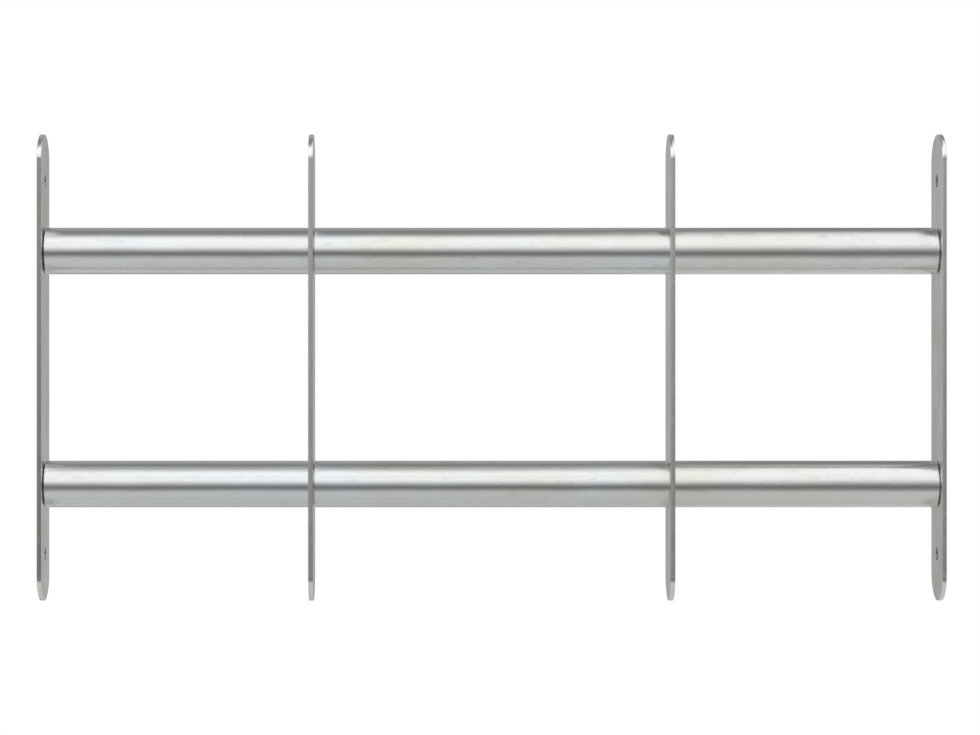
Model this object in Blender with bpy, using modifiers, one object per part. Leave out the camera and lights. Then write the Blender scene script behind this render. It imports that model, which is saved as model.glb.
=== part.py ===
"""Telescopic window security bar: four upright flats joined by two rows of round tube.

The bar stands in a window opening, and the two end flats are screwed to the reveals at its sides.
Two slide tubes start at the left end flat. They pass through the left inner flat and run inside the
centre tubes and the right tubes, so the right half draws out to fit the opening. A set screw behind
each centre tube locks the width.

X runs along the tubes, Y from front (-Y) to back, Z is up. The origin is the middle of the closed
bar. All sizes are in metres.
"""

from math import acos, cos, pi, radians, sin

import bmesh
import bpy

# Overall sizes
HEIGHT = 0.300           # length of each upright flat
END_PITCH = 0.173        # end flat to inner flat, middle to middle
CENTRE_PITCH = 0.231     # inner flat to inner flat with the bar closed
TUBE_PITCH = 0.150       # upper tube row to lower tube row

# Upright flats
BAR_DEPTH = 0.040        # width of the flat, which points to the back
BAR_THICK = 0.003
BAR_ARCH_RADIUS = 0.022  # the middle of each arched end
BAR_CORNER_RADIUS = 0.0125  # from the arch into the long edges
MOUNT_HOLE_D = 0.008     # plain hole for a wall screw
MOUNT_HOLE_FROM_END = 0.030

# Tubes
TUBE_OD = 0.030
TUBE_WALL = 0.002
TUBE_CHAMFER = 0.0004    # broken edge at both ends of a tube
SLIDE_WALL = 0.0015
SLIDE_CLEARANCE = 0.0005  # all round, slide tube to the bore that it runs in
SLIDE_END_CLEAR = 0.004  # slide tube to end plug with the bar closed
PARTING_GAP = 0.0008     # inner flat to centre tube with the bar closed
END_GAP = 0.0008         # outer tube to end flat, which seats on the plug

# Pieces that are pressed, screwed or welded together keep this distance
SEAT_GAP = 0.0003

# End plugs and the countersunk screws that draw the tubes to the end flats
PLUG_LENGTH = 0.018
PLUG_CHAMFER = 0.001
PLUG_LEAD_IN = 0.0006    # smallest chamfer at the mouth of the tapped bore
SCREW_D = 0.006
SCREW_HEAD_D = 0.012     # a 90 degree head
SCREW_LENGTH = 0.016
SCREW_SINK = 0.0002      # head below the face of the flat
SCREW_TIP_CHAMFER = 0.0008
SCREW_SOCKET_AF = 0.004
SCREW_SOCKET_DEPTH = 0.0018
SCREW_TIP_CLEAR = 0.001  # screw tip to the bottom of the tapped bore

# Width locks: a nut welded behind each centre tube, and a set screw in it
LOCK_FROM_MOUTH = 0.020
LOCK_SCREW_D = 0.006
LOCK_SCREW_PROUD = 0.0003
LOCK_SCREW_CHAMFER = 0.0006
LOCK_SOCKET_AF = 0.003
LOCK_SOCKET_DEPTH = 0.0022
NUT_AF = 0.010
NUT_HEIGHT = 0.0032      # over the crown of the tube
NUT_CHAMFER = 0.0006

# Fineness of the round shapes
TUBE_SIDES = 48
SMALL_SIDES = 32
BAR_ARC_STEPS = 8
MERGE_DISTANCE = 0.00001
CUT_OVERRUN = 0.001      # how far a cutter runs past the face that it cuts

# Sizes that follow from the ones above
INNER_BAR_X = CENTRE_PITCH / 2
END_BAR_X = INNER_BAR_X + END_PITCH
TUBE_Z = TUBE_PITCH / 2
TUBE_R = TUBE_OD / 2
TUBE_BORE_R = TUBE_R - TUBE_WALL
SLIDE_R = TUBE_BORE_R - SLIDE_CLEARANCE
SLIDE_BORE_R = SLIDE_R - SLIDE_WALL
TAPPED_R = SCREW_D / 2 + SEAT_GAP
LOCK_HOLE_R = LOCK_SCREW_D / 2 + SEAT_GAP
CENTRE_TUBE_LEFT = -INNER_BAR_X + BAR_THICK / 2 + PARTING_GAP
LOCK_X = CENTRE_TUBE_LEFT + LOCK_FROM_MOUTH
NUT_TOP = TUBE_R + SEAT_GAP + NUT_HEIGHT

# Turns of a piece that is modelled along its own Z
ALONG_X = (0, pi / 2, 0)
ALONG_MINUS_X = (0, -pi / 2, 0)
ALONG_Y = (-pi / 2, 0, 0)
UPRIGHT_FACING_X = (pi / 2, 0, pi / 2)

ROWS = (("upper", TUBE_Z), ("lower", -TUBE_Z))


# ---------------------------------------------------------------- scene, collections, materials

def clear_scene():
    for obj in list(bpy.data.objects):
        bpy.data.objects.remove(obj, do_unlink=True)


def new_collection(name):
    collection = bpy.data.collections.new(name)
    bpy.context.scene.collection.children.link(collection)
    return collection


def metal(name, colour, roughness):
    material = bpy.data.materials.new(name)
    material.use_nodes = True
    shader = material.node_tree.nodes["Principled BSDF"]
    shader.inputs["Base Color"].default_value = (*colour, 1.0)
    shader.inputs["Roughness"].default_value = roughness
    shader.inputs["Metallic"].default_value = 1.0
    return material


def new_group(name):
    empty = bpy.data.objects.new(name, None)
    PARTS.objects.link(empty)
    return empty


clear_scene()
PARTS = new_collection("window_security_bar")
CUTTERS = new_collection("cutters")

ZINC_FLAT = metal("zinc_plated_flat", (0.55, 0.56, 0.54), 0.38)
ZINC_TUBE = metal("zinc_plated_tube", (0.72, 0.74, 0.76), 0.24)
BRIGHT_TUBE = metal("bright_drawn_tube", (0.66, 0.67, 0.68), 0.20)
PLUG_STEEL = metal("turned_plug_steel", (0.45, 0.45, 0.44), 0.35)
SCREW_STEEL = metal("zinc_plated_screw", (0.60, 0.62, 0.64), 0.28)


# ---------------------------------------------------------------- making and cutting shapes

def place(obj, parent, location, rotation):
    obj.parent = parent
    obj.location = location
    obj.rotation_euler = rotation
    return obj


def add_piece(name, mesh, material, parent, location, rotation):
    mesh.materials.append(material)
    piece = bpy.data.objects.new(name, mesh)
    PARTS.objects.link(piece)
    return place(piece, parent, location, rotation)


def turned_piece(name, profile, sides, closed, *placing):
    """A (radius, height) profile spun about Z. It runs down its outer side."""
    edges = [(i, i + 1) for i in range(len(profile) - 1)]
    if closed:
        edges.append((len(profile) - 1, 0))
    mesh = bpy.data.meshes.new(name)
    mesh.from_pydata([(radius, 0, height) for radius, height in profile], edges, [])
    piece = add_piece(name, mesh, *placing)
    turn = piece.modifiers.new("turn", "SCREW")
    turn.steps = turn.render_steps = sides
    turn.use_merge_vertices = True
    turn.merge_threshold = MERGE_DISTANCE
    turn.use_smooth_shade = True
    return piece


def prism_mesh(name, radius, depth, sides):
    """A round or many-sided bar along Z, standing on its origin."""
    mesh = bpy.data.meshes.new(name)
    work = bmesh.new()
    bmesh.ops.create_cone(work, cap_ends=True, segments=sides, radius1=radius, radius2=radius, depth=depth)
    bmesh.ops.translate(work, verts=work.verts, vec=(0, 0, depth / 2))
    work.to_mesh(mesh)
    work.free()
    return mesh


def cut_with(piece, cutter, location, rotation):
    """Takes the cutter's shape out of the piece. Both hang on the same empty."""
    CUTTERS.objects.link(cutter)
    place(cutter, piece.parent, location, rotation)
    cutter.hide_render = True
    cutter.display_type = "WIRE"
    hole = piece.modifiers.new(cutter.name, "BOOLEAN")
    hole.operation = "DIFFERENCE"
    hole.solver = "EXACT"
    hole.object = cutter


def cut_round(piece, label, radius, depth, location, rotation, sides=SMALL_SIDES):
    name = f"{piece.name}_{label}"
    cutter = bpy.data.objects.new(name, prism_mesh(name, radius, depth, sides))
    cut_with(piece, cutter, location, rotation)


def hexagon_radius(across_flats):
    return across_flats / 2 / cos(pi / 6)


# ---------------------------------------------------------------- upright flats

def bar_outline():
    """The outline of a flat as (across, up) points. Each end is an arch with tighter corners."""
    reach = BAR_ARCH_RADIUS - BAR_CORNER_RADIUS
    corner_across = BAR_DEPTH / 2 - BAR_CORNER_RADIUS
    turn = acos(corner_across / reach)
    arch_up = HEIGHT / 2 - BAR_ARCH_RADIUS
    corner_up = arch_up + reach * sin(turn)
    quarter = []
    for centre, radius, first, last in (((corner_across, corner_up), BAR_CORNER_RADIUS, 0, turn),
                                        ((0, arch_up), BAR_ARCH_RADIUS, turn, pi / 2)):
        for step in range(BAR_ARC_STEPS):
            angle = first + (last - first) * step / BAR_ARC_STEPS
            quarter.append((centre[0] + radius * cos(angle), centre[1] + radius * sin(angle)))
    half = quarter + [(0, HEIGHT / 2)] + [(-across, up) for across, up in reversed(quarter)]
    return half + [(-across, -up) for across, up in half]


def bar_blank(name, parent, x):
    """A flat with arched ends, drawn as an outline and given its thickness."""
    outline = bar_outline()
    curve = bpy.data.curves.new(name + "_outline", "CURVE")
    curve.dimensions = "2D"
    curve.fill_mode = "BOTH"
    curve.extrude = BAR_THICK / 2
    spline = curve.splines.new("POLY")
    spline.points.add(len(outline) - 1)
    for point, (across, up) in zip(spline.points, outline):
        point.co = (across, up, 0, 1)
    spline.use_cyclic_u = True
    drawn = bpy.data.objects.new(name + "_outline", curve)
    PARTS.objects.link(drawn)
    bpy.context.view_layer.update()
    mesh = bpy.data.meshes.new_from_object(drawn.evaluated_get(bpy.context.evaluated_depsgraph_get()))
    bpy.data.objects.remove(drawn, do_unlink=True)
    mesh.name = name
    work = bmesh.new()
    work.from_mesh(mesh)
    bmesh.ops.remove_doubles(work, verts=work.verts, dist=MERGE_DISTANCE)
    work.to_mesh(mesh)
    work.free()
    return add_piece(name, mesh, ZINC_FLAT, parent, (x, 0, 0), UPRIGHT_FACING_X)


def cut_through_bar(piece, label, radius, x, z, sides):
    depth = BAR_THICK + 2 * CUT_OVERRUN
    cut_round(piece, label, radius, depth, (x - depth / 2, 0, z), ALONG_X, sides)


def end_bar(name, parent, side):
    """side is -1 for the left flat and 1 for the right one. Its screws enter from outside."""
    x = side * END_BAR_X
    outer_face = x + side * BAR_THICK / 2
    bar = bar_blank(name, parent, x)
    hole_z = HEIGHT / 2 - MOUNT_HOLE_FROM_END
    for row, z in (("upper", hole_z), ("lower", -hole_z)):
        cut_through_bar(bar, f"{row}_mount_hole", MOUNT_HOLE_D / 2, x, z, SMALL_SIDES)
    inward = ALONG_MINUS_X if side > 0 else ALONG_X
    for row, z in ROWS:
        countersink(bar, f"{bar.name}_{row}_countersink", (outer_face, 0, z), inward)


def seat_radius(depth):
    """The 90 degree seat under a sunk screw head, at a depth from the outer face of the end flat."""
    mouth = SCREW_HEAD_D / 2 + SCREW_SINK + 2 ** 0.5 * SEAT_GAP
    return max(mouth - depth, TAPPED_R)


def countersink(bar, name, location, rotation):
    bottom = BAR_THICK + CUT_OVERRUN
    seat_depth = min(seat_radius(0) - TAPPED_R, BAR_THICK)
    profile = [
        (0, bottom),
        (seat_radius(bottom), bottom),
        (seat_radius(seat_depth), seat_depth),
        (seat_radius(-CUT_OVERRUN), -CUT_OVERRUN),
        (0, -CUT_OVERRUN),
    ]
    mesh = bpy.data.meshes.new(name)
    mesh.from_pydata([(r, 0, z) for r, z in profile], [(i, i + 1) for i in range(len(profile) - 1)], [])
    cutter = bpy.data.objects.new(name, mesh)
    turn = cutter.modifiers.new("turn", "SCREW")
    turn.steps = turn.render_steps = SMALL_SIDES
    turn.use_merge_vertices = True
    turn.merge_threshold = MERGE_DISTANCE
    cut_with(bar, cutter, location, rotation)


def inner_bar(name, parent, side, hole_radius):
    """side is -1 for the left flat and 1 for the right one. The slide tubes pass through it."""
    x = side * INNER_BAR_X
    bar = bar_blank(name, parent, x)
    for row, z in ROWS:
        cut_through_bar(bar, f"{row}_tube_hole", hole_radius, x, z, TUBE_SIDES)


# ---------------------------------------------------------------- tubes

def tube(name, parent, material, outer, bore, left, right, z):
    """A round tube from one x to another, with both ends chamfered."""
    length = right - left
    profile = [
        (outer - TUBE_CHAMFER, length),
        (outer, length - TUBE_CHAMFER),
        (outer, TUBE_CHAMFER),
        (outer - TUBE_CHAMFER, 0),
        (bore, 0),
        (bore, length),
    ]
    return turned_piece(name, profile, TUBE_SIDES, True, material, parent, (left, 0, z), ALONG_X)


# ---------------------------------------------------------------- end plugs and their screws

def end_plug(name, parent, bore, side, z):
    """A tapped steel plug in the end of a tube, open towards the end flat."""
    radius = bore - SEAT_GAP
    tapped_depth = SCREW_LENGTH - BAR_THICK + SCREW_SINK - SEAT_GAP + SCREW_TIP_CLEAR
    mouth = max(TAPPED_R + PLUG_LEAD_IN, seat_radius(BAR_THICK + SEAT_GAP))
    face = side * (END_BAR_X - BAR_THICK / 2 - SEAT_GAP)
    profile = [
        (0, PLUG_LENGTH),
        (radius - PLUG_CHAMFER, PLUG_LENGTH),
        (radius, PLUG_LENGTH - PLUG_CHAMFER),
        (radius, 0),
        (mouth, 0),
        (TAPPED_R, mouth - TAPPED_R),
        (TAPPED_R, tapped_depth),
        (0, tapped_depth),
    ]
    inward = ALONG_MINUS_X if side > 0 else ALONG_X
    turned_piece(name, profile, SMALL_SIDES, False, PLUG_STEEL, parent, (face, 0, z), inward)


def end_screw(name, parent, side, z):
    """A countersunk socket screw, its head just under the outer face of the end flat."""
    radius = SCREW_D / 2
    head_radius = SCREW_HEAD_D / 2
    head_face = side * (END_BAR_X + BAR_THICK / 2 - SCREW_SINK)
    profile = [
        (0, SCREW_LENGTH),
        (radius - SCREW_TIP_CHAMFER, SCREW_LENGTH),
        (radius, SCREW_LENGTH - SCREW_TIP_CHAMFER),
        (radius, head_radius - radius),
        (head_radius, 0),
        (0, 0),
    ]
    inward = ALONG_MINUS_X if side > 0 else ALONG_X
    location = (head_face, 0, z)
    screw = turned_piece(name, profile, SMALL_SIDES, False, SCREW_STEEL, parent, location, inward)
    socket_start = (head_face + side * CUT_OVERRUN, 0, z)
    socket_depth = SCREW_SOCKET_DEPTH + CUT_OVERRUN
    cut_round(screw, "socket", hexagon_radius(SCREW_SOCKET_AF), socket_depth, socket_start, inward, 6)


# ---------------------------------------------------------------- width locks

def lock_nut(name, parent, z):
    """A hexagon nut whose foot is coped to the back of the tube."""
    corner = hexagon_radius(NUT_AF)
    mesh = prism_mesh(name, corner, NUT_TOP, 6)
    work = bmesh.new()
    work.from_mesh(mesh)
    rim = [e for e in work.edges if all(v.co.z > NUT_TOP - MERGE_DISTANCE for v in e.verts)]
    bmesh.ops.bevel(work, geom=rim, offset=NUT_CHAMFER, segments=1, profile=0.5, affect="EDGES", material=-1)
    work.to_mesh(mesh)
    work.free()
    nut = add_piece(name, mesh, SCREW_STEEL, parent, (LOCK_X, 0, z), ALONG_Y)
    cope_start = (LOCK_X - NUT_AF, 0, z)
    cut_round(nut, "cope", TUBE_R + SEAT_GAP, 2 * NUT_AF, cope_start, ALONG_X, TUBE_SIDES)
    cut_round(nut, "bore", LOCK_HOLE_R, NUT_TOP + CUT_OVERRUN, (LOCK_X, 0, z), ALONG_Y)


def lock_screw(name, parent, z):
    """A socket set screw. Its origin is on its axis, where its tip stops at the slide tube."""
    tip = SLIDE_R + SEAT_GAP
    length = NUT_TOP + LOCK_SCREW_PROUD - tip
    radius = LOCK_SCREW_D / 2
    profile = [
        (0, length),
        (radius - LOCK_SCREW_CHAMFER, length),
        (radius, length - LOCK_SCREW_CHAMFER),
        (radius, LOCK_SCREW_CHAMFER),
        (radius - LOCK_SCREW_CHAMFER, 0),
        (0, 0),
    ]
    location = (LOCK_X, tip, z)
    screw = turned_piece(name, profile, SMALL_SIDES, False, SCREW_STEEL, parent, location, ALONG_Y)
    socket_start = (LOCK_X, tip + length - LOCK_SOCKET_DEPTH, z)
    socket_depth = LOCK_SOCKET_DEPTH + CUT_OVERRUN
    cut_round(screw, "socket", hexagon_radius(LOCK_SOCKET_AF), socket_depth, socket_start, ALONG_Y, 6)


# ---------------------------------------------------------------- the assembly

def build_left_frame():
    """The half that stays: end flat, inner flat, spacer tubes between them and both slide tubes."""
    frame = new_group("left_frame")
    end_bar("end_bar_left", frame, -1)
    inner_bar("inner_bar_left", frame, -1, SLIDE_R + SEAT_GAP)
    end_face = -END_BAR_X + BAR_THICK / 2
    inner_face = -INNER_BAR_X - BAR_THICK / 2 - SEAT_GAP
    right_plug_face = END_BAR_X - BAR_THICK / 2 - SEAT_GAP - PLUG_LENGTH
    slide_end = right_plug_face - SLIDE_END_CLEAR
    for row, z in ROWS:
        tube(f"left_tube_{row}", frame, ZINC_TUBE, TUBE_R, TUBE_BORE_R, end_face + END_GAP, inner_face, z)
        slide_start = end_face + SEAT_GAP
        tube(f"slide_tube_{row}", frame, BRIGHT_TUBE, SLIDE_R, SLIDE_BORE_R, slide_start, slide_end, z)
        end_plug(f"end_plug_left_{row}", frame, SLIDE_BORE_R, -1, z)
        end_screw(f"end_screw_left_{row}", frame, -1, z)


def build_right_frame():
    """The half that draws out along +X, with the nuts and set screws that lock it."""
    frame = new_group("right_frame")
    end_bar("end_bar_right", frame, 1)
    inner_bar("inner_bar_right", frame, 1, TUBE_BORE_R)
    inner_left_face = INNER_BAR_X - BAR_THICK / 2 - SEAT_GAP
    inner_right_face = INNER_BAR_X + BAR_THICK / 2 + SEAT_GAP
    tube_end = END_BAR_X - BAR_THICK / 2 - END_GAP
    for row, z in ROWS:
        name = f"centre_tube_{row}"
        centre = tube(name, frame, ZINC_TUBE, TUBE_R, TUBE_BORE_R, CENTRE_TUBE_LEFT, inner_left_face, z)
        cut_round(centre, "lock_hole", LOCK_HOLE_R, TUBE_OD, (LOCK_X, 0, z), ALONG_Y)
        tube(f"right_tube_{row}", frame, ZINC_TUBE, TUBE_R, TUBE_BORE_R, inner_right_face, tube_end, z)
        end_plug(f"end_plug_right_{row}", frame, TUBE_BORE_R, 1, z)
        end_screw(f"end_screw_right_{row}", frame, 1, z)
        lock_nut(f"lock_nut_{row}", frame, z)
        lock_screw(f"lock_screw_{row}", frame, z)


def shade_round_pieces():
    """Curved sides shade smooth, and edges past 30 degrees stay sharp."""
    bpy.context.view_layer.update()
    for piece in PARTS.objects:
        if piece.type == "MESH" and piece.data.polygons:
            piece.data.shade_smooth()
            piece.data.set_sharp_from_angle(angle=radians(30))


build_left_frame()
build_right_frame()
shade_round_pieces()
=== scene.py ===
# %% [markdown]
# # A telescopic window security bar in zinc-plated steel
#
# The bar is screwed into a window opening. Four upright flats stand edge-on to the front, and two rows
# of round tube join them. The right half draws out on two thinner tubes inside, and a set screw behind
# each row locks the width.
#
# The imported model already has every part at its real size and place. This script makes the surfaces
# that a close look needs: sheared and tumbled edges, drawn tube, sockets, threads, weld beads, and the
# zinc itself. Each new piece is measured from the part that it stands for, so it sits exactly where
# that part does. All lengths are in metres.

# %% Load the frame
from math import acos, cos, hypot, pi, radians, sin, sqrt

import bmesh
import bpy
from mathutils import Matrix, Vector


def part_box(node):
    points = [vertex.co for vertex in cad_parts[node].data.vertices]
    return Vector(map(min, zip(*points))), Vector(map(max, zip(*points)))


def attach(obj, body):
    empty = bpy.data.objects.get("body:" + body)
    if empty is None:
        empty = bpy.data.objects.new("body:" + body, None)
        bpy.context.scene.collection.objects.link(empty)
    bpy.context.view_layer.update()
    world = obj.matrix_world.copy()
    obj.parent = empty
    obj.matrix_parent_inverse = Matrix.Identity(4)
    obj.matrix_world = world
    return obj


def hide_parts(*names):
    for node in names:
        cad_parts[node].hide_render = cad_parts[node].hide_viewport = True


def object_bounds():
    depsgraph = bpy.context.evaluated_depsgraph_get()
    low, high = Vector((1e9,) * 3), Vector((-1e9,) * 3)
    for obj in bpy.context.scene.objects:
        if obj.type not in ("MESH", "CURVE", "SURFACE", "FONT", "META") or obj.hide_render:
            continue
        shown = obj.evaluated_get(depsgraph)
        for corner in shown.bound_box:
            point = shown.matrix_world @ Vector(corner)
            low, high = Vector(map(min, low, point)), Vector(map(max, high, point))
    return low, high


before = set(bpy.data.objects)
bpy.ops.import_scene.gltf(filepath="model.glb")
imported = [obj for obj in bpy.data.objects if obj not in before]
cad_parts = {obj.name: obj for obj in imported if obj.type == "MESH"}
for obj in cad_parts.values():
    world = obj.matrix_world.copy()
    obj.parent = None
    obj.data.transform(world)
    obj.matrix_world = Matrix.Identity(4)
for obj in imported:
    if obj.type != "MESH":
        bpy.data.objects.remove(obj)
CAD_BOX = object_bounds()
ROWS = ("upper", "lower")
SIDES = {"left": -1, "right": 1}
print("nodes in the frame:", len(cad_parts))

# %% [markdown]
# ## From a bmesh to a finished piece
#
# Every piece below is shaped in a bmesh and ends in the same way: its doubles are merged, its faces
# are turned outwards, it becomes an object, and it rides on the body that carries the real part. One
# function does that, so no step is forgotten.
#
# Round sides shade smooth, and an edge sharper than 35 degrees stays crisp. Faces that lie square to
# the piece's own axis are truly flat, so they shade flat. Without that, the rounded edges next to them
# would bend their reflections.

# %% Finish a piece
MERGE = 1e-6
CRISP = radians(35)
SQUARE_ON = 0.9999
AXES = {"x": Vector((1, 0, 0)), "y": Vector((0, 1, 0))}


def finish_piece(name, work, axis, body, material, stands_for=None):
    """Turns a bmesh into a shaded object that rides on a body."""
    bmesh.ops.remove_doubles(work, verts=work.verts, dist=MERGE)
    bmesh.ops.recalc_face_normals(work, faces=work.faces)
    open_edges = sum(not edge.is_manifold for edge in work.edges)
    mesh = bpy.data.meshes.new(name)
    work.to_mesh(mesh)
    work.free()
    mesh.shade_smooth()
    mesh.set_sharp_from_angle(angle=CRISP)
    for face in mesh.polygons:
        if abs(face.normal.dot(AXES[axis])) > SQUARE_ON:
            face.use_smooth = False
    mesh.materials.append(material)
    piece = bpy.data.objects.new(name, mesh)
    bpy.context.scene.collection.objects.link(piece)
    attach(piece, body)
    if stands_for:
        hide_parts(stands_for)
    print(f"{name}: {len(mesh.polygons)} faces, {open_edges} open edges")


# %% [markdown]
# ## Shader maths as Python
#
# A node tree reads more easily as a formula. `Value` wraps one socket and overloads the arithmetic
# operators, so `0.2 + 0.1 * lines` adds its Math nodes by itself. `Finish.put` adds any other node:
# its settings first, then the values or links of its sockets.

# %% The shader helpers
class Value:
    """One output socket that works in a Python expression."""

    def __init__(self, finish, socket):
        self.finish = finish
        self.socket = socket

    def output(self, number):
        """Another output of the same node."""
        return Value(self.finish, self.socket.node.outputs[number])

    def _math(self, operation, first, second):
        return self.finish.put("ShaderNodeMath", {"operation": operation}, {0: first, 1: second})

    def __add__(self, other):
        return self._math("ADD", self, other)

    def __sub__(self, other):
        return self._math("SUBTRACT", self, other)

    def __rsub__(self, other):
        return self._math("SUBTRACT", other, self)

    def __mul__(self, other):
        return self._math("MULTIPLY", self, other)

    def __truediv__(self, other):
        return self._math("DIVIDE", self, other)

    def __rtruediv__(self, other):
        return self._math("DIVIDE", other, self)

    __radd__ = __add__
    __rmul__ = __mul__


class Finish:
    """The node tree of a material or of the world."""

    def __init__(self, tree):
        self.tree = tree
        self.tree.nodes.clear()

    def put(self, kind, settings=None, sockets=None, output=0):
        """Adds a node. A ramp's stops are a setting too: pairs of a position and a grey."""
        node = self.tree.nodes.new(kind)
        for setting, value in (settings or {}).items():
            if setting == "stops":
                self.set_stops(node.color_ramp, value)
            else:
                setattr(node, setting, value)
        for name, value in (sockets or {}).items():
            if isinstance(value, Value):
                self.tree.links.new(value.socket, node.inputs[name])
            else:
                node.inputs[name].default_value = value
        return Value(self, node.outputs[output]) if node.outputs else None

    def set_stops(self, ramp, stops):
        """Lays grey stops on a colour ramp, with a smooth change from each to the next."""
        ramp.interpolation = "EASE"
        while len(ramp.elements) < len(stops):
            ramp.elements.new(1.0)
        for element, (position, grey) in zip(ramp.elements, stops):
            element.position = position
            element.color = (grey, grey, grey, 1)


# %% [markdown]
# ## Zinc plating
#
# Bright zinc is a thin metal layer that follows the steel under it. A drawn tube keeps its fine
# lengthwise lines and a slight waviness, and a rolled flat keeps a soft grain. The passivation on top
# drifts between a cold blue and a faint olive over a few centimetres. The tubes are also painted colder
# on the left and warmer on the right. This is painted light colour, for light that falls bluer on the
# left. Handling leaves rubs that are a little rougher, and the bath leaves a few pin-pricks.
#
# One recipe makes all the zinc here and, with darker colours, the bare drawn steel of the slide tubes.
# It reads the position on the object in metres. What differs between a tube, a flat and a screw is
# how fast the grain changes along each axis, how bright the layer is, and how wavy the steel. All of
# it works through colour, roughness and a bump.
#
# Each pattern is a noise with its own scale, given as features a metre along X, Y and Z. `drift` is
# the passivation, `lines` and the wider `streaks` are the grain, `waves` are in the steel, and `rubs`
# and `pricks` are the marks on top. On a flat, `tears` break up the finish of the rim. `ramp` turns a
# noise into spots: its two numbers are the values at which a spot begins and is full.

# %% Pattern helpers
def noise(finish, place, scale, detail=2.0, roughness=0.5):
    """Noise with that many features a metre along X, Y and Z."""
    stretched = finish.put("ShaderNodeMapping", None, {"Vector": place, "Scale": scale})
    sockets = {"Vector": stretched, "Scale": 1.0, "Detail": detail, "Roughness": roughness}
    return finish.put("ShaderNodeTexNoise", None, sockets)


def ramp(finish, value, low, high):
    """0 at low and below, 1 at high and above, and a smooth rise between."""
    sockets = {"Value": value, "From Min": low, "From Max": high}
    return finish.put("ShaderNodeMapRange", {"interpolation_type": "SMOOTHSTEP"}, sockets)


def blend_colour(finish, factor, first, second):
    """A mix of two colours, each a tuple or another node's colour."""
    pair = [(*colour, 1) if isinstance(colour, tuple) else colour for colour in (first, second)]
    sockets = {0: factor, 6: pair[0], 7: pair[1]}
    return finish.put("ShaderNodeMix", {"data_type": "RGBA"}, sockets, output=2)


# %% Metal from a colour, a roughness and a height
def start_material(name):
    """A new material's empty node tree, and the position on the object in metres."""
    material = bpy.data.materials.new(name)
    material.use_nodes = True
    finish = Finish(material.node_tree)
    return material, finish, finish.put("ShaderNodeTexCoord", output=3)


def end_as_metal(finish, colour, roughness, height):
    """Puts the metal shader at the end of a node tree. The height is in metres."""
    bump = finish.put("ShaderNodeBump", None, {"Strength": 1.0, "Distance": 1.0, "Height": height})
    sockets = {"Base Color": colour, "Roughness": roughness, "Metallic": 1.0, "Normal": bump}
    shader = finish.put("ShaderNodeBsdfPrincipled", None, sockets)
    finish.put("ShaderNodeOutputMaterial", None, {"Surface": shader})


# %% The rim of a flat
RIM_PARTS = ("side", "punched", "bore")
TEAR_SCALE = (420, 420, 260)
BURNISHED = (0.86, 0.86, 0.84)
# The bore colour is partly bare steel and partly painted shade inside the holes.
SHADED_BORE_STEEL = (0.34, 0.33, 0.33)


def finish_rim(finish, place, colour, roughness, edge_colour):
    """Gives each part of a flat's rim its own colour and roughness, where its attribute is 1."""
    side, punched, bore = (finish.put("ShaderNodeAttribute", {"attribute_name": part}, output=2)
                           for part in RIM_PARTS)
    tears = ramp(finish, noise(finish, place, TEAR_SCALE, detail=5, roughness=0.75), 0.47, 0.66)
    colour = blend_colour(finish, side * (1 - 0.12 * tears), colour, edge_colour)
    colour = blend_colour(finish, punched * (1 - 0.3 * tears), colour, BURNISHED)
    # A bore is painted darker: partly for its bare steel, and partly as painted shade inside the hole.
    colour = blend_colour(finish, 0.9 * bore, colour, SHADED_BORE_STEEL)
    return colour, roughness + side * (0.08 + 0.06 * tears) - 0.10 * punched


# %% The zinc recipe
DRIFT_SCALE = (11, 40, 26)
WAVE_SCALE = (28, 60, 60)
RUB_SCALE = (70, 190, 170)
PRICK_SCALE = (700, 700, 700)
STREAKS_PER_LINE = 0.22
WORN_BRIGHTNESS = 0.70


def zinc(name, grain, cold, warm, shine, grain_height, wave_height=0.0, edge_colour=None):
    """A plated layer whose colour drifts between cold and warm.

    grain is lines a metre along X, Y and Z, and shine is the roughness of the clean layer.
    """
    material, finish, place = start_material(name)
    drift = noise(finish, place, DRIFT_SCALE, detail=4)
    lines = noise(finish, place, grain, detail=4, roughness=0.65)
    streak_scale = tuple(STREAKS_PER_LINE * lines_a_metre for lines_a_metre in grain)
    streaks = noise(finish, place, streak_scale, detail=3)
    waves = noise(finish, place, WAVE_SCALE, detail=2.5)
    rubs = ramp(finish, noise(finish, place, RUB_SCALE, detail=6, roughness=0.7), 0.50, 0.75)
    pricks = ramp(finish, noise(finish, place, PRICK_SCALE, detail=1), 0.73, 0.79)

    clean = blend_colour(finish, ramp(finish, drift, 0.38, 0.62), cold, warm)
    worn = tuple(WORN_BRIGHTNESS * channel for channel in warm)
    dulling = 0.30 * rubs + 0.5 * pricks + 0.16 * ramp(finish, streaks, 0.42, 0.75) + 0.08 * lines
    colour = blend_colour(finish, dulling, clean, worn)
    roughness = shine + 0.07 * rubs + 0.04 * streaks + 0.15 * pricks
    if edge_colour:
        colour, roughness = finish_rim(finish, place, colour, roughness, edge_colour)
    grain_relief = grain_height * lines + 2 * grain_height * streaks - 3 * grain_height * pricks
    end_as_metal(finish, colour, roughness, grain_relief + wave_height * waves)
    return material


# %% Mix the finishes
COLD = (0.795, 0.83, 0.86)
NEUTRAL = (0.81, 0.82, 0.81)
OLIVE = (0.79, 0.79, 0.74)
TUBE_LAYER = {"grain": (6, 2400, 2400), "shine": 0.16, "grain_height": 0.0000015, "wave_height": 0.00025}
# The left tubes are painted cold and the right ones olive. This is painted light colour, for light that
# falls bluer on the left and warmer on the right.
TUBE_ZINC = {
    "left_tube": zinc("cold_tube_zinc", cold=COLD, warm=NEUTRAL, **TUBE_LAYER),
    "centre_tube": zinc("drifting_tube_zinc", cold=COLD, warm=OLIVE, **TUBE_LAYER),
    "right_tube": zinc("olive_tube_zinc", cold=NEUTRAL, warm=OLIVE, **TUBE_LAYER),
}

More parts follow.
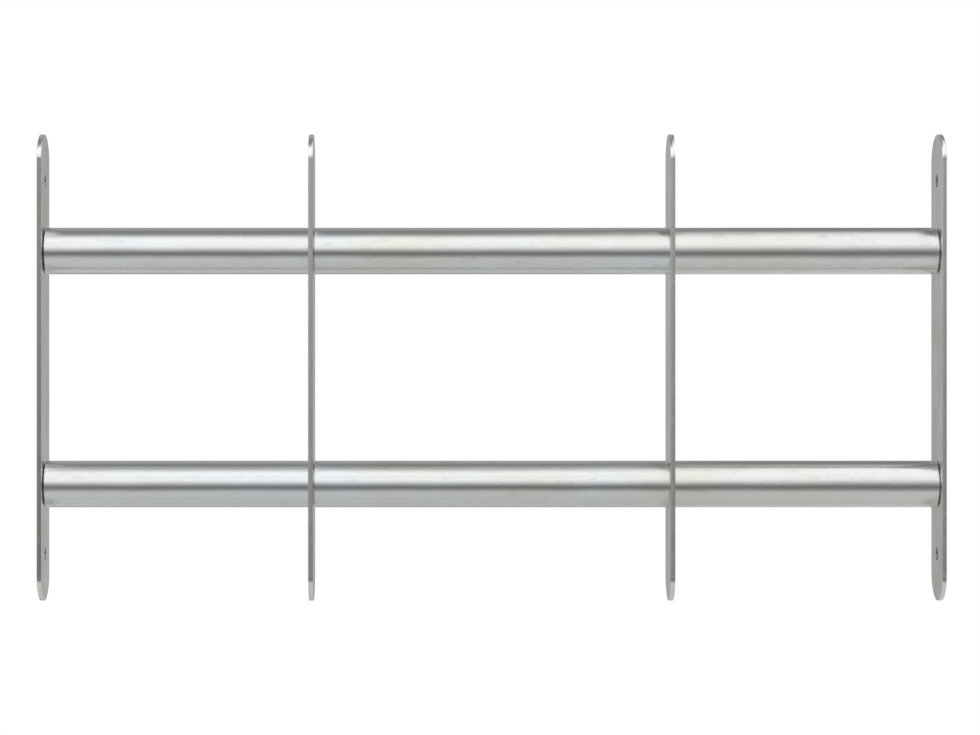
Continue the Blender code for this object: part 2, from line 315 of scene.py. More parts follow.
LILAC = (0.93, 0.92, 0.94)
FLAT_LAYER = {"grain": (1200, 1200, 9), "cold": LILAC, "warm": OLIVE, "shine": 0.22,
              "grain_height": 0.000003, "wave_height": 0.0001}
LIGHT_FLAT = zinc("light_edged_flat_zinc", edge_colour=(0.54, 0.55, 0.51), **FLAT_LAYER)
DARK_FLAT = zinc("dark_edged_flat_zinc", edge_colour=(0.38, 0.38, 0.36), **FLAT_LAYER)

SLIDE_STEEL = zinc("slide_tube_steel", grain=(3, 3600, 3600), cold=(0.56, 0.56, 0.57),
                   warm=(0.50, 0.49, 0.47), shine=0.20, grain_height=0.0000012, wave_height=0.0001)
SCREW_ZINC = zinc("screw_zinc", grain=(1500, 1500, 1500), cold=COLD, warm=OLIVE, shine=0.22,
                  grain_height=0.000004)
WELD_ZINC = zinc("weld_zinc", grain=(900, 900, 900), cold=NEUTRAL, warm=OLIVE, shine=0.30,
                 grain_height=0.000012)
zinc_names = sorted(material.name for material in bpy.data.materials if "zinc" in material.name)
print("zinc finishes:", zinc_names)

# %% [markdown]
# ## Turned steel for the plugs
#
# The end plugs sit inside the tubes, so hardly anybody sees them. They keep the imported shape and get
# the look of bar stock off a lathe. A lathe tool leaves rings, so the pattern depends only on the
# place along the plug and on the distance from its axis, which is the tube's axis. The Mapping node
# can't know two rows at once, so each row has its own material, centred on its height.

# %% Turned steel, and the plugs that wear it
RING_TURN = 9000      # radians a metre, so there is a ring every 0.7 mm
RING_HEIGHT = 0.000008
STAIN_SCALE = (120, 120, 120)
FRESH_STEEL = (0.76, 0.75, 0.73)
STAINED_STEEL = (0.52, 0.50, 0.47)


def tube_height(row):
    """The height of a tube row's axis, from its centre tube."""
    low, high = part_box(f"centre_tube_{row}")
    return (low.z + high.z) / 2


def turned_steel(name, axis_height):
    """Bare steel off a lathe, turned about an axis along X at that height."""
    material, finish, place = start_material(name)
    centred = finish.put("ShaderNodeMapping", None, {"Vector": place, "Location": (0, 0, -axis_height)})
    parts = finish.put("ShaderNodeSeparateXYZ", None, {0: centred})
    across = finish.put("ShaderNodeCombineXYZ", None, {1: parts.output(1), 2: parts.output(2)})
    radius = finish.put("ShaderNodeVectorMath", {"operation": "LENGTH"}, {0: across}, output=1)
    turned = RING_TURN * (radius + parts.output(0))
    rings = finish.put("ShaderNodeMath", {"operation": "SINE"}, {0: turned})
    stain = ramp(finish, noise(finish, place, STAIN_SCALE, detail=4), 0.45, 0.7)
    colour = blend_colour(finish, 0.5 * stain, FRESH_STEEL, STAINED_STEEL)
    end_as_metal(finish, colour, 0.22 + 0.12 * stain, RING_HEIGHT * rings)
    return material


for row in ROWS:
    steel = turned_steel(f"turned_steel_{row}", tube_height(row))
    for side in SIDES:
        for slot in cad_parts[f"end_plug_{side}_{row}"].material_slots:
            slot.material = steel
    print("turned steel on the", row, "plugs, axis at", round(tube_height(row), 4), "m")

# %% [markdown]
# ## The upright flats
#
# Each flat is sheared from 40 x 3 mm stock, and its ends are punched to an arch with tighter corners.
# The outline could come from a long list of points, but three spins of one vertex draw it: corner,
# arch, corner. The other end is the same line turned half round.
#
# The holes are circles laid in the same plane, and `triangle_fill` fills the region between all the
# loops at once. An extrusion gives the thickness, so the outline and the holes line up on both faces
# with no Boolean. A countersink is a hole whose outer rim is wider, so one circle is scaled up.

# %% Draw a flat's outline
ARCH_RADIUS = 0.022
CORNER_RADIUS = 0.0125
ARC_STEP = radians(3)


def draw_outline(work, low, high):
    """The closed outline of a flat with arched ends, in the plane at low.x."""
    middle = Vector((low.x, (low.y + high.y) / 2, (low.z + high.z) / 2))
    reach = ARCH_RADIUS - CORNER_RADIUS
    turn = acos((middle.y - low.y - CORNER_RADIUS) / reach)
    arch = Vector((low.x, middle.y, high.z - ARCH_RADIUS))
    corner_height = arch.z + reach * sin(turn)
    front_corner = Vector((low.x, low.y + CORNER_RADIUS, corner_height))
    back_corner = Vector((low.x, high.y - CORNER_RADIUS, corner_height))
    first = work.verts.new((low.x, low.y, corner_height))
    last = first
    for centre, angle in ((front_corner, turn), (arch, pi - 2 * turn), (back_corner, turn)):
        swept = bmesh.ops.spin(work, geom=[last], cent=centre, axis=(-1, 0, 0), angle=angle,
                               steps=round(angle / ARC_STEP))
        last = swept["geom_last"][0]
    copied = bmesh.ops.duplicate(work, geom=work.verts[:] + work.edges[:])
    other_end = [part for part in copied["geom"] if isinstance(part, bmesh.types.BMVert)]
    bmesh.ops.rotate(work, verts=other_end, cent=middle, matrix=Matrix.Rotation(pi, 3, "X"))
    work.edges.new((last, copied["vert_map"][first]))
    work.edges.new((copied["vert_map"][last], first))


# %% Give it holes and a thickness
HOLE_STEPS = 64


def shape_flat(low, high, holes):
    """A flat with sharp edges. Each hole is (height, radius at low.x, radius at high.x)."""
    work = bmesh.new()
    draw_outline(work, low, high)
    across = (low.y + high.y) / 2
    for height, radius, _ in holes:
        facing = Matrix.Translation((low.x, across, height)) @ Matrix.Rotation(pi / 2, 4, "Y")
        bmesh.ops.create_circle(work, cap_ends=False, segments=HOLE_STEPS, radius=radius, matrix=facing)
    bmesh.ops.triangle_fill(work, use_beauty=True, edges=work.edges[:])
    extruded = bmesh.ops.extrude_face_region(work, geom=work.faces[:])["geom"]
    far = [part for part in extruded if isinstance(part, bmesh.types.BMVert)]
    bmesh.ops.translate(work, verts=far, vec=(high.x - low.x, 0, 0))
    for height, radius, far_radius in holes:
        centre = Vector((high.x, across, height))
        ring = [vert for vert in far if abs((vert.co - centre).length - radius) < MERGE]
        wider = far_radius / radius
        bmesh.ops.scale(work, verts=ring, vec=(1, wider, wider), space=Matrix.Translation(-centre))
    return work


# %% [markdown]
# ## Rounded edges on the flats
#
# Tumbling before the plating takes the sharpness off every edge. The long outline is rounded more than
# the rims of the holes, so the edges are beveled in two groups.
#
# The edges don't look like the faces. The long sides keep the mill's darker, mottled skin, and the punch
# has burnished the arched ends. The holes are painted darker: partly bare steel, where hardly any zinc is
# laid down, and partly painted shade inside them. The zinc can't know which face it is on, so three
# attributes tell it: `side`, `punched` and `bore` are 1 on their faces.

# %% Round the edges
EDGE_ROUND = 0.0004
HOLE_ROUND = 0.00015
TUMBLED = radians(30)
NEAR_A_HOLE = 1.1


def round_edges(work, edges, width, segments):
    """Bevels edges to a round."""
    bmesh.ops.bevel(work, geom=edges, offset=width, segments=segments, profile=0.5, affect="EDGES",
                    material=-1, clamp_overlap=True)


def near_hole(spot, across, holes):
    """Whether a point lies on the rim or the wall of a hole in a flat."""
    return any(hypot(spot.y - across, spot.z - height) < NEAR_A_HOLE * max(near, far)
               for height, near, far in holes)


def tumble_flat(work, across, holes):
    """Rounds the edges of the outline and of the holes."""
    outline = []
    hole_rims = []
    for edge in work.edges:
        if edge.calc_face_angle(0) >= TUMBLED:
            spot = (edge.verts[0].co + edge.verts[1].co) / 2
            group = hole_rims if near_hole(spot, across, holes) else outline
            group.append(edge)
    round_edges(work, outline, EDGE_ROUND, 3)
    kept_rims = [edge for edge in hole_rims if edge.is_valid]
    round_edges(work, kept_rims, HOLE_ROUND, 2)


# %% Mark the faces of the rim
# How far a normal may point along X in a bore and on the rim, and along Z on a straight side.
BORE_TILT = 0.95
RIM_TILT = 0.6
SIDE_TILT = 0.02


def mark_rim(work, across, holes):
    """Tells the sides, the punched ends and the bores apart by where a face is and how it leans."""
    side, punched, bore = (work.faces.layers.float.new(part) for part in RIM_PARTS)
    work.normal_update()
    for face in work.faces:
        if near_hole(face.calc_center_median(), across, holes):
            face[bore] = float(abs(face.normal.x) < BORE_TILT)
        elif abs(face.normal.x) < RIM_TILT:
            on_side = abs(face.normal.z) < SIDE_TILT
            face[side if on_side else punched] = 1.0


# %% Make the four flats
MOUNT_HOLE_RADIUS = 0.004
MOUNT_HOLE_FROM_END = 0.030
HEAD_RADIUS = 0.006
HEAD_SINK = 0.0002
SEAT_GAP = 0.0003
SLIDE_CLEARANCE = 0.0005
SLIDE_LOW, SLIDE_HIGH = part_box("slide_tube_upper")
SLIDE_RADIUS = (SLIDE_HIGH.z - SLIDE_LOW.z) / 2


def end_flat_holes(low, high, side):
    """Two countersinks that open outwards, and two plain holes for the wall screws."""
    outer = HEAD_RADIUS + HEAD_SINK + sqrt(2) * SEAT_GAP
    inner = outer - (high.x - low.x)
    seat = (outer, inner) if side == "left" else (inner, outer)
    holes = [(tube_height(row), *seat) for row in ROWS]
    for height in (low.z + MOUNT_HOLE_FROM_END, high.z - MOUNT_HOLE_FROM_END):
        holes.append((height, MOUNT_HOLE_RADIUS, MOUNT_HOLE_RADIUS))
    return holes


def inner_flat_holes(side):
    """The left one is welded to the slide tubes, and the right one slides on them."""
    radius = SLIDE_RADIUS + (SEAT_GAP if side == "left" else SLIDE_CLEARANCE)
    return [(tube_height(row), radius, radius) for row in ROWS]


for side in SIDES:
    for kind in ("end", "inner"):
        node = f"{kind}_bar_{side}"
        low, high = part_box(node)
        across = (low.y + high.y) / 2
        holes = end_flat_holes(low, high, side) if kind == "end" else inner_flat_holes(side)
        work = shape_flat(low, high, holes)
        tumble_flat(work, across, holes)
        mark_rim(work, across, holes)
        material = DARK_FLAT if node == "end_bar_left" else LIGHT_FLAT
        finish_piece(f"{kind}_flat_{side}", work, "x", f"{side}_frame", material, node)

# %% [markdown]
# ## The tubes
#
# A tube is its wall, a small rectangle, spun round the tube's own axis. A vertex bevel on the
# rectangle first takes the sharpness off the sawn ends. The spin closes on itself with `use_merge`,
# so no seam is left, and the steps are fine enough that the bright reflections run straight.
#
# Smooth shading bends the surface towards the rounded ends. On faces as long as the tube that bend
# would run over its whole length and skew what it mirrors, so a narrow band at each end takes it up.
#
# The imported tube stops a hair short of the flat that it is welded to. The real one touches it, so
# that end is drawn out by the gap.
#
# Behind each centre tube a set screw passes through the wall. Spin and extrude can't put a round hole
# across a round wall, so here a Boolean with a plain cylinder does it, and its result becomes the mesh.

# %% Shape a tube
SAWN_EDGE = 0.00025
END_BAND = 0.0005
TUBE_STEPS = 128


def shape_tube(low, high, wall):
    """A round tube along X that fills a box."""
    middle = (low + high) / 2
    radius = (high.z - low.z) / 2
    along = (low.x, low.x + END_BAND, high.x - END_BAND, high.x)
    work = bmesh.new()
    outside = [work.verts.new((x, middle.y, middle.z + radius)) for x in along]
    inside = [work.verts.new((x, middle.y, middle.z + radius - wall)) for x in reversed(along)]
    work.faces.new(outside + inside)
    corners = [outside[0], outside[-1], inside[0], inside[-1]]
    bmesh.ops.bevel(work, geom=corners, offset=SAWN_EDGE, segments=3, profile=0.5, affect="VERTICES",
                    material=-1)
    bmesh.ops.delete(work, geom=work.faces[:], context="FACES_ONLY")
    bmesh.ops.spin(work, geom=work.verts[:] + work.edges[:], cent=middle, axis=(1, 0, 0), angle=2 * pi,
                   steps=TUBE_STEPS, use_merge=True)
    return work


# %% Cut the hole for a set screw
LOCK_HOLE_RADIUS = 0.0033
DRILL_LENGTH = 0.012


def bare_object(name, work):
    """An object from a bmesh, with no finish and no body."""
    mesh = bpy.data.meshes.new(name)
    work.to_mesh(mesh)
    work.free()
    made = bpy.data.objects.new(name, mesh)
    bpy.context.scene.collection.objects.link(made)
    return made


def cut_lock_hole(work, row):
    """Takes the set screw's hole out of the back of a centre tube, and returns the new bmesh."""
    low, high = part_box(f"lock_screw_{row}")
    middle = (low + high) / 2
    bmesh.ops.remove_doubles(work, verts=work.verts, dist=MERGE)
    bmesh.ops.recalc_face_normals(work, faces=work.faces)
    tube = bare_object("uncut_tube", work)
    drill = bmesh.new()
    across_tube = Matrix.Translation(middle) @ Matrix.Rotation(pi / 2, 4, "X")
    bmesh.ops.create_cone(drill, cap_ends=True, segments=HOLE_STEPS, radius1=LOCK_HOLE_RADIUS,
                          radius2=LOCK_HOLE_RADIUS, depth=DRILL_LENGTH, matrix=across_tube)
    cutter = bare_object("drill", drill)
    cut = tube.modifiers.new("lock_hole", "BOOLEAN")
    cut.operation = "DIFFERENCE"
    cut.object = cutter
    cut_mesh = bpy.data.meshes.new_from_object(tube.evaluated_get(bpy.context.evaluated_depsgraph_get()))
    result = bmesh.new()
    result.from_mesh(cut_mesh)
    for scrap in (tube, cutter):
        bpy.data.objects.remove(scrap, do_unlink=True)
    bpy.data.meshes.remove(cut_mesh)
    return result


# %% Make the tubes
TUBE_WALL = 0.002
SLIDE_WALL = 0.0015
# The tube, its body, the inner flat that it is welded to, and 1 if that flat is to its right.
WELDED_TUBES = (("left_tube", "left_frame", "inner_bar_left", 1),
                ("centre_tube", "right_frame", "inner_bar_right", 1),
                ("right_tube", "right_frame", "inner_bar_right", -1))

for row in ROWS:
    for tube, body, _, weld_side in WELDED_TUBES:
        node = f"{tube}_{row}"
        low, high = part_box(node)
        welded_end = high if weld_side > 0 else low
        welded_end.x += weld_side * SEAT_GAP
        work = shape_tube(low, high, TUBE_WALL)
        if tube == "centre_tube":
            work = cut_lock_hole(work, row)
        finish_piece(f"drawn_{node}", work, "x", body, TUBE_ZINC[tube], node)
    node = f"slide_tube_{row}"
    low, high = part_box(node)
    work = shape_tube(low, high, SLIDE_WALL)
    finish_piece(f"drawn_{node}", work, "x", "left_frame", SLIDE_STEEL, node)

# %% [markdown]
# ## Threads
#
# A thread is one tooth of the thread's section, spun round the axis while it climbs one pitch a turn.
# The spin operator does that with `dvec`, the climb at each step. The tooth is exactly one pitch
# long, so each turn meets the one below, and merging the doubles gives a closed skin.
#
# The start and the end of such a skin are ragged steps. A plane cuts each of them off level, and the
# cut leaves one closed loop that the next surface can be joined to.

# %% Spin a thread
THREAD_STEPS = 40
THREAD_DEPTH = 0.6134


def spin_thread(work, crest, pitch, bottom, top):
    """The skin of an ISO thread about Z, cut level at two heights."""
    root = crest - THREAD_DEPTH * pitch
    # Each point is a radius and a height in pitches.
    tooth = ((root, 0), (root, 0.25), (crest, 0.5625), (crest, 0.6875), (root, 1))
    start = bottom - pitch
    section = [work.verts.new((radius, 0, start + rise * pitch)) for radius, rise in tooth]
    lines = [work.edges.new(pair) for pair in zip(section, section[1:])]
    turns = int((top - bottom) / pitch) + 2
    bmesh.ops.spin(work, geom=section + lines, cent=(0, 0, 0), axis=(0, 0, 1), angle=2 * pi * turns,
                   dvec=(0, 0, pitch / THREAD_STEPS), steps=THREAD_STEPS * turns)
    bmesh.ops.remove_doubles(work, verts=work.verts, dist=MERGE)
    for height, direction in ((bottom, -1), (top, 1)):
        everything = work.verts[:] + work.edges[:] + work.faces[:]
        bmesh.ops.bisect_plane(work, geom=everything, dist=MERGE / 10, plane_co=(0, 0, height),
                               plane_no=(0, 0, direction), clear_outer=True)


def open_rim(work, height):
    """The edges at a height that still lack a face."""
    return [edge for edge in work.edges if len(edge.link_faces) < 2
            and all(abs(vert.co.z - height) < MERGE for vert in edge.verts)]


# %% [markdown]
# ## Screws
#
# Both kinds of screw here have a hexagon socket and stand on the same steps. The head is a turned
# profile. The socket is a hexagon pushed into the head's face, with the cone that the drill leaves at
# its bottom. The thread follows the head, and the tip is chamfered so that it finds its hole.
#
# A screw is modelled upright, with its face at the origin and its tip up, and then laid in its place.

# %% Parts of a screw
SCREW_STEPS = 48
DRILL_POINT = 0.2     # the socket's cone, as a share of its width
CUP_RADIUS = 0.75     # the mouth of a tip's cup, as a share of the chamfered end


def turn_profile(work, profile):
    """Spins a line of (radius, height) points about Z."""
    line = [work.verts.new((radius, 0, height)) for radius, height in profile]
    edges = [work.edges.new(pair) for pair in zip(line, line[1:])]
    bmesh.ops.spin(work, geom=line + edges, cent=(0, 0, 0), axis=(0, 0, 1), angle=2 * pi,
                   steps=SCREW_STEPS, use_merge=True)


def extend_rim(work, rim, rise, widen):
    """Pulls a new band of faces out of a rim about Z and returns the new rim."""
    band = bmesh.ops.extrude_edge_only(work, edges=rim)["geom"]
    verts = [part for part in band if isinstance(part, bmesh.types.BMVert)]
    bmesh.ops.scale(work, verts=verts, vec=(widen, widen, 1))
    bmesh.ops.translate(work, verts=verts, vec=(0, 0, rise))
    return [part for part in band if isinstance(part, bmesh.types.BMEdge)]


def sink_socket(work, across_flats, depth):
    """A hexagon socket in the face at height 0, whose outer rim is already there."""
    face_rim = open_rim(work, 0)
    hexagon = bmesh.ops.create_circle(work, cap_ends=False, segments=6, radius=across_flats / sqrt(3))
    mouth = list({edge for vert in hexagon["verts"] for edge in vert.link_edges})
    bmesh.ops.triangle_fill(work, use_beauty=True, edges=face_rim + mouth)
    wall = extend_rim(work, mouth, depth, 1)
    extend_rim(work, wall, DRILL_POINT * across_flats, 0)


def close_tip(work, height, chamfer, radius, cup):
    """Chamfers the end of the thread, and hollows it by a cup if there is one."""
    rim = extend_rim(work, open_rim(work, height), chamfer, 1 - chamfer / radius)
    if cup:
        rim = extend_rim(work, rim, 0, CUP_RADIUS)
        extend_rim(work, rim, -cup, 0)
    else:
        bmesh.ops.contextual_create(work, geom=rim)


# %% Shape a screw
def shape_screw(profile, thread, socket, tip_chamfer, place, cup=0.0):
    """A screw laid in its place.

    thread is (crest radius, pitch, bottom, top), and socket is (width across flats, depth).
    """
    crest, pitch, bottom, top = thread
    work = bmesh.new()
    spin_thread(work, crest, pitch, bottom, top)
    turn_profile(work, profile)
    neck = open_rim(work, profile[-1][1])
    bmesh.ops.bridge_loops(work, edges=neck + open_rim(work, bottom))
    sink_socket(work, *socket)
    close_tip(work, top, tip_chamfer, crest, cup)
    bmesh.ops.transform(work, verts=work.verts, matrix=place)
    return work


# %% Make the end screws
SCREW_RADIUS = 0.003
NECK_RADIUS = 0.93 * SCREW_RADIUS
PITCH = 0.001
HEAD_DEPTH = HEAD_RADIUS - SCREW_RADIUS
HEAD_ROUND = 0.0003
HEAD_SOCKET = (0.004, 0.0018)
NECK_START = HEAD_DEPTH + 0.0002
NECK_END = HEAD_DEPTH + 0.0006
END_TIP_CHAMFER = 0.0008
HEAD_PROFILE = ((HEAD_RADIUS - HEAD_ROUND, 0), (HEAD_RADIUS, HEAD_ROUND), (HEAD_RADIUS, 1.4 * HEAD_ROUND),
                (SCREW_RADIUS, HEAD_DEPTH), (NECK_RADIUS, NECK_START))

for side, sign in SIDES.items():
    for row in ROWS:
        node = f"end_screw_{side}_{row}"
        low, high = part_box(node)
        face = Vector((low.x if sign < 0 else high.x, (low.y + high.y) / 2, (low.z + high.z) / 2))
        place = Matrix.Translation(face) @ Matrix.Rotation(-sign * pi / 2, 4, "Y")
        thread = (SCREW_RADIUS, PITCH, NECK_END, high.x - low.x - END_TIP_CHAMFER)
        work = shape_screw(HEAD_PROFILE, thread, HEAD_SOCKET, END_TIP_CHAMFER, place)
        finish_piece(f"countersunk_{side}_{row}", work, "x", f"{side}_frame", SCREW_ZINC,
                     node)

# %% Make the set screws
SET_FACE_RADIUS = 0.75 * SCREW_RADIUS
SET_FACE_CHAMFER = 0.0005
SET_THREAD_START = 0.0007
SET_SOCKET = (0.003, 0.0022)
SET_TIP_CHAMFER = 0.0006
SET_CUP = 0.0004
SET_PROFILE = ((SET_FACE_RADIUS, 0), (NECK_RADIUS, SET_FACE_CHAMFER))

for row in ROWS:
    node = f"lock_screw_{row}"    # each set screw's body has the same name
    low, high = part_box(node)
    face = Vector(((low.x + high.x) / 2, high.y, (low.z + high.z) / 2))
    place = Matrix.Translation(face) @ Matrix.Rotation(pi / 2, 4, "X")
    thread = (SCREW_RADIUS, PITCH, SET_THREAD_START, high.y - low.y - SET_TIP_CHAMFER)
    work = shape_screw(SET_PROFILE, thread, SET_SOCKET, SET_TIP_CHAMFER, place, cup=SET_CUP)
    finish_piece(f"set_screw_{row}", work, "y", node, SCREW_ZINC, node)

# %% [markdown]
# ## The lock nuts
#
# A nut is a hexagon with a bore, filled as a flat region and extruded, like the uprights. Its foot
# would stand on the tube in a single line, so the foot is dropped onto the round: each of its points
# goes to the height of the tube under it, as if the nut were milled to fit. The hexagon's sides are
# cut up first, so that the foot has enough points to bend.
#
# The curved scallops on a nut's corners come from a cone that meets flat sides. Many planes laid round
# that cone, each cutting off what is outside, give the same shape.

# %% Shape a nut
NUT_CHAMFER_RADIUS = 0.0048
NUT_CHAMFER_SLOPE = radians(30)
CHAMFER_PLANES = 48
SIDE_CUTS = 9
BORE_ROUND = 0.0004


def shape_nut(across_flats, top, foot_radius, place):
    """A nut laid in its place. It is made about Z, on a tube that lies along X at height 0."""
    work = bmesh.new()
    raised = Matrix.Translation((0, 0, top))
    outside = bmesh.ops.create_circle(work, segments=6, radius=across_flats / sqrt(3), matrix=raised)
    sides = list({edge for vert in outside["verts"] for edge in vert.link_edges})
    bmesh.ops.subdivide_edges(work, edges=sides, cuts=SIDE_CUTS)
    bmesh.ops.create_circle(work, segments=HOLE_STEPS, radius=LOCK_HOLE_RADIUS, matrix=raised)
    bmesh.ops.triangle_fill(work, use_beauty=True, edges=work.edges[:])
    extruded = bmesh.ops.extrude_face_region(work, geom=work.faces[:])["geom"]
    for part in extruded:
        if isinstance(part, bmesh.types.BMVert):
            part.co.z = sqrt(foot_radius ** 2 - part.co.y ** 2)
    bmesh.ops.recalc_face_normals(work, faces=work.faces)
    for number in range(CHAMFER_PLANES):
        turn = 2 * pi * number / CHAMFER_PLANES
        outwards = Vector((cos(turn), sin(turn), 0))
        rim_point = NUT_CHAMFER_RADIUS * outwards + Vector((0, 0, top))
        leaning = sin(NUT_CHAMFER_SLOPE) * outwards + Vector((0, 0, cos(NUT_CHAMFER_SLOPE)))
        everything = work.verts[:] + work.edges[:] + work.faces[:]
        cut = bmesh.ops.bisect_plane(work, geom=everything, dist=MERGE / 10, plane_co=rim_point,
                                     plane_no=leaning, clear_outer=True)
        loop = [part for part in cut["geom_cut"] if isinstance(part, bmesh.types.BMEdge)]
        bmesh.ops.holes_fill(work, edges=loop, sides=0)
    bore_rim = {vert for vert in work.verts
                if abs(vert.co.z - top) < MERGE and vert.co.xy.length < LOCK_HOLE_RADIUS + MERGE}
    mouth = [edge for edge in work.edges if bore_rim.issuperset(edge.verts)]
    round_edges(work, mouth, BORE_ROUND, 2)
    bmesh.ops.transform(work, verts=work.verts, matrix=place)
    return work


# %% Make the nuts
NUT_LOW, NUT_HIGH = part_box("lock_nut_upper")
NUT_X = (NUT_LOW.x + NUT_HIGH.x) / 2
TUBE_LOW, TUBE_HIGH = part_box("centre_tube_upper")
TUBE_RADIUS = (TUBE_HIGH.z - TUBE_LOW.z) / 2

for row in ROWS:
    place = Matrix.Translation((NUT_X, 0, tube_height(row))) @ Matrix.Rotation(-pi / 2, 4, "X")
    work = shape_nut(NUT_HIGH.x - NUT_LOW.x, NUT_HIGH.y, TUBE_RADIUS + SEAT_GAP, place)
    finish_piece(f"hexagon_nut_{row}", work, "y", "right_frame", SCREW_ZINC,
                 f"lock_nut_{row}")

# %% [markdown]
# ## Weld beads
#
# The tubes are welded to the inner flats at the back, where nobody looks, and the nuts are tacked to
# the tubes. A bead is a quarter-round fillet swept along the corner. It isn't even: each drop of metal
# freezes as a ripple, and the bead thins out at both ends. So the swept fillet is swelled and thinned
# about the corner line by a formula of the angle.

# %% Sweep a weld bead
BEAD_STEP = radians(1)
RIPPLE_DEPTH = 0.18
RIPPLE_TURN = 0.0011      # the arc that is one radian of the ripple, so a drop is pi times as long
TAPER = 7                 # how quickly a bead fills out from its ends
THIN_END = 0.12


def swell_at(angle, half_angle):
    """How full a bead is at an angle from its middle, from THIN_END at its ends to 1."""
    fade = min(1, sqrt(TAPER * max(0, half_angle - abs(angle))) + THIN_END)
    ripple = abs(sin(TUBE_RADIUS * angle / RIPPLE_TURN))
    return fade * (1 - RIPPLE_DEPTH + RIPPLE_DEPTH * ripple)


def weld_bead(name, corner_x, direction, height, leg, half_angle, body):
    """A fillet of a leg's size behind a tube, which reaches half_angle each way round it.

    direction is 1 where the bead lies to the right of corner_x, and -1 where it lies to the left.
    """
    work = bmesh.new()
    quarter = [(leg * cos(radians(angle)), leg * sin(radians(angle))) for angle in range(0, 91, 15)]
    section = [work.verts.new((corner_x + direction * along, TUBE_RADIUS + out, height))
               for along, out in (*quarter, (0, 0))]
    work.faces.new(section)
    axis_point = Vector((corner_x, 0, height))
    bmesh.ops.rotate(work, verts=work.verts, cent=axis_point, matrix=Matrix.Rotation(-half_angle, 3, "X"))
    bmesh.ops.spin(work, geom=work.verts[:] + work.edges[:] + work.faces[:], cent=axis_point,
                   axis=(1, 0, 0), angle=2 * half_angle, steps=round(2 * half_angle / BEAD_STEP))
    for vert in work.verts:
        arm = vert.co - axis_point
        swell = swell_at(arm.yz.angle_signed(Vector((1, 0))), half_angle)
        stands_out = swell * (arm.yz.length - TUBE_RADIUS)
        vert.co.x = corner_x + swell * arm.x
        vert.co.yz = axis_point.yz + (TUBE_RADIUS + stands_out) * arm.yz.normalized()
    finish_piece(name, work, "x", body, WELD_ZINC)


# %% Weld the tubes and tack the nuts
BEAD_LEG = 0.0022
BEAD_REACH = radians(62)
TACK_LEG = 0.0012
TACK_REACH = radians(9)

for row in ROWS:
    height = tube_height(row)
    for tube, body, flat, weld_side in WELDED_TUBES:
        low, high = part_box(flat)
        corner_x = low.x if weld_side > 0 else high.x
        weld_bead(f"weld_{tube}_{row}", corner_x, -weld_side, height, BEAD_LEG, BEAD_REACH, body)
    for side, corner_x in (("left", NUT_LOW.x), ("right", NUT_HIGH.x)):
        weld_bead(f"tack_{side}_{row}", corner_x, SIDES[side], height, TACK_LEG, TACK_REACH, "right_frame")

# %% [markdown]
# ## Floor and light
#
# The bar is shown as a catalogue shows it: level with the eye, over a pale table, in a white studio.
# The table fades out at its edge, so from above there is no hard line behind the bar.
#
# Polished metal has hardly any colour of its own, so what it looks like is what it mirrors. A tube
# seen from the front mirrors everything from the floor in front, over the horizon and the ceiling, to
# the back wall. So the studio is described by one number, the angle going up from the front: a dark
# horizon a little below level, a wide soft light high in front, and a dark gap past it. On the right a
# second soft light continues the first one further back, which widens the bright band there. The
# camera itself sees plain white.

# %% The table
TABLE_DROP = 0.30
TABLE_RADIUS = 0.65
TABLE_STEPS = 96
TABLE_PAINT = (0.84, 0.84, 0.83, 1)
CAD_LOW = Vector(CAD_BOX[0])


def paint_table():
    """A dull pale paint that fades out from the middle of the table to its edge."""
    material, finish, place = start_material("pale_table")
    level = finish.put("ShaderNodeMapping", None, {"Vector": place, "Scale": (1, 1, 0)})
    from_middle = finish.put("ShaderNodeVectorMath", {"operation": "LENGTH"}, {0: level}, output=1)
    fade = ramp(finish, from_middle, 0.3 * TABLE_RADIUS, 0.98 * TABLE_RADIUS)
    sockets = {"Base Color": TABLE_PAINT, "Roughness": 0.8, "Alpha": 1 - fade}
    shader = finish.put("ShaderNodeBsdfPrincipled", None, sockets)
    finish.put("ShaderNodeOutputMaterial", None, {"Surface": shader})
    return material


work = bmesh.new()
bmesh.ops.create_circle(work, cap_ends=True, segments=TABLE_STEPS, radius=TABLE_RADIUS,
                        matrix=Matrix.Translation((0, 0, CAD_LOW.z - TABLE_DROP)))
table = bare_object("pale_table", work)
table.data.materials.append(paint_table())
print("table", TABLE_DROP, "m below the bar, radius", TABLE_RADIUS, "m")

# %% The studio
# Degrees up from the front, so 90 is overhead and -90 is straight down, and the brightness there.
STUDIO = ((-180, 0.40), (-150, 0.42), (-125, 0.64), (-44, 0.63), (-15, 0.17), (24, 1.08),
          (55, 1.14), (95, 0.25), (110, 0.25), (135, 0.40), (152, 0.42), (180, 0.42))
BRIGHTEST = 1.2
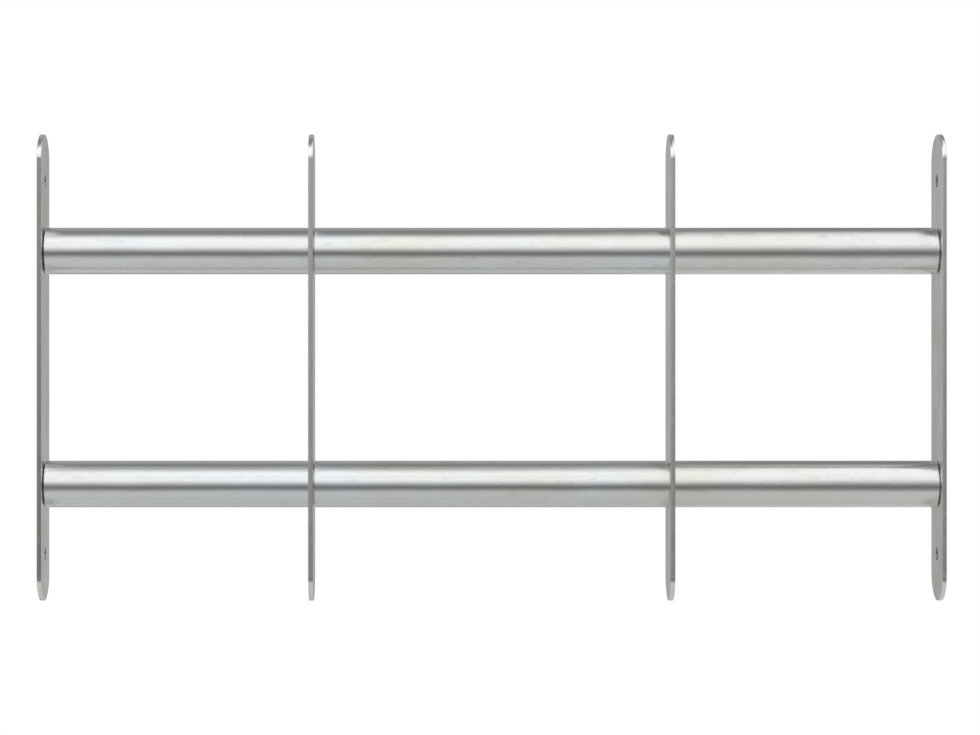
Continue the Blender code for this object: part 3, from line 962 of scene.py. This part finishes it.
# The X of a ray's direction where the second light begins and is full, and the degrees and the share
# by which it carries the pattern further back.
SECOND_LIGHT = (0.083, 0.088)
SECOND_LIGHT_RISE = 6
SECOND_LIGHT_STRETCH = 0.26

world = bpy.data.worlds.new("studio")
bpy.context.scene.world = world
world.use_nodes = True
studio = Finish(world.node_tree)
ray = studio.put("ShaderNodeSeparateXYZ", None, {0: studio.put("ShaderNodeTexCoord", output=0)})
on_right = ramp(studio, ray, *SECOND_LIGHT)
angle = studio.put("ShaderNodeMath", {"operation": "ARCTAN2"}, {0: ray.output(2), 1: 0 - ray.output(1)})
degrees_up = (180 / pi * angle - SECOND_LIGHT_RISE * on_right) / (1 + SECOND_LIGHT_STRETCH * on_right)
stops = [((degree + 180) / 360, grey / BRIGHTEST) for degree, grey in STUDIO]
pattern = studio.put("ShaderNodeValToRGB", {"stops": stops}, {0: degrees_up / 360 + 0.5})
mirrored = studio.put("ShaderNodeBackground", None, {"Color": pattern, "Strength": BRIGHTEST})
white = studio.put("ShaderNodeBackground", None, {"Color": (1, 1, 1, 1), "Strength": 1.0})
from_camera = studio.put("ShaderNodeLightPath")
shown = studio.put("ShaderNodeMixShader", None, {0: from_camera, 1: mirrored, 2: white})
studio.put("ShaderNodeOutputWorld", None, {0: shown})
bpy.context.scene.view_settings.view_transform = "Standard"
greys = [grey for _, grey in STUDIO]
print("studio brightness runs from", min(greys), "to", max(greys))

# %% [markdown]
# ## Camera
#
# The camera looks straight along +Y at mid height, a little left of the middle, from under two metres.
# Being that near is what opens the inner faces of the end flats. The lens shift brings the bar back
# to the middle of the frame without turning the camera, so the uprights stay upright.

# %% Place the camera
CAMERA_DISTANCE = 1.847
CAMERA_LEFT = 0.0425
camera = bpy.data.cameras.new("camera")
camera.lens = 106.5
camera.sensor_width = 36
camera.shift_x = 0.0663
eye = bpy.data.objects.new("camera", camera)
eye.location = (-CAMERA_LEFT, CAD_LOW.y - CAMERA_DISTANCE, 0)
eye.rotation_euler = (pi / 2, 0, 0)
bpy.context.scene.collection.objects.link(eye)
bpy.context.scene.camera = eye
print("camera at", [round(value, 4) for value in eye.location], "m")
